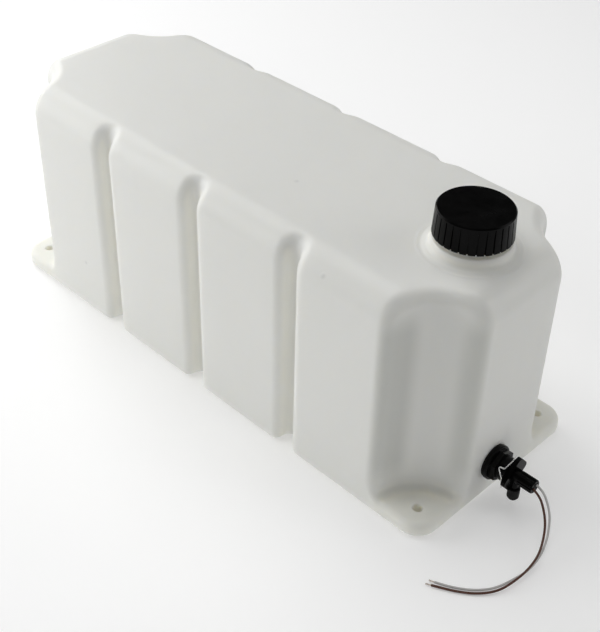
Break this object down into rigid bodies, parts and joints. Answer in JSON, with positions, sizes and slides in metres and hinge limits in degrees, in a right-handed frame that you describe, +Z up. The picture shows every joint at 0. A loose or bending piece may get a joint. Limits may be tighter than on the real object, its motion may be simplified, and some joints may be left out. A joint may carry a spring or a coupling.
{
  "type": "fluid tank",
  "caption": "Moulded translucent fluid tank with bolt-down feet, side grooves, a black screw cap and a low-level float sensor fitting with two loose leads.",
  "frame": {"origin": "centre of the four foot bolt holes, on the plane that the tank stands on", "axes": "+X along the tank towards the end with the filler neck and the sensor fitting, +Z up"},
  "size_m": [0.6246, 0.229, 0.2513],
  "materials": {
    "natural_polyethylene": "translucent, satin, rotationally moulded",
    "black_plastic": "moulded, semi-gloss",
    "liner_foam": "closed-cell foam",
    "white_membrane": "porous film",
    "white_nylon": "satin",
    "float_foam": "closed-cell, matt",
    "brown_insulation": "satin",
    "grey_insulation": "satin",
    "black_rubber": "matt",
    "spring_steel": "bright drawn wire",
    "pin_steel": "ground",
    "tinned_copper": "tinned strands",
    "switch_glass": "clear",
    "ferrite": "sintered"
  },
  "bodies": {
    "tank": {"tank_shell": "natural_polyethylene", "flange_gasket": "black_rubber", "bulkhead_body": "black_plastic", "inner_washer": "white_nylon", "bulkhead_nut": "black_plastic", "sensor_plug": "black_plastic", "plug_o_rings": "black_rubber", "sensor_stem": "black_plastic", "reed_switch": "switch_glass", "reed_leads": "tinned_copper", "float_pin": "pin_steel", "cable_barrel": "black_plastic", "wire_seal": "black_rubber", "lead_brown": "brown_insulation", "lead_grey": "grey_insulation", "tip_brown": "tinned_copper", "tip_grey": "tinned_copper"},
    "cap_carrier": {"cap_liner": "liner_foam"},
    "cap": {"filler_cap": "black_plastic", "vent_membrane": "white_membrane"},
    "float_arm": {"sensor_float": "float_foam", "float_magnet": "ferrite"},
    "clip": {"retaining_clip": "spring_steel"},
    "spigot_stopper": {"spigot_cap": "black_rubber"}
  },
  "joints": [
    {"name": "cap_lift", "type": "slide", "parent": "tank", "child": "cap_carrier", "axis": [0, 0, 1], "range_m": [0, 0.0201]},
    {"name": "cap_turn", "type": "hinge", "parent": "cap_carrier", "child": "cap", "pos_m": [0.2154, 0, 0.2284], "axis": [0, 0, 1], "range_deg": [0, 1440]},
    {"name": "float_swing", "type": "hinge", "parent": "tank", "child": "float_arm", "pos_m": [0.2425, -0.0125, 0.036], "axis": [0, 1, 0], "range_deg": [0, 50]},
    {"name": "clip_pull", "type": "slide", "parent": "tank", "child": "clip", "axis": [0, -0.866, 0.5], "range_m": [0, 0.014]},
    {"name": "stopper_pull", "type": "slide", "parent": "tank", "child": "spigot_stopper", "axis": [0, 0, -1], "range_m": [0, 0.009]}
  ],
  "couplings": [
    {"joint": "cap_lift", "follows": "cap_turn", "m_per_rad": 0.00079577}
  ]
}
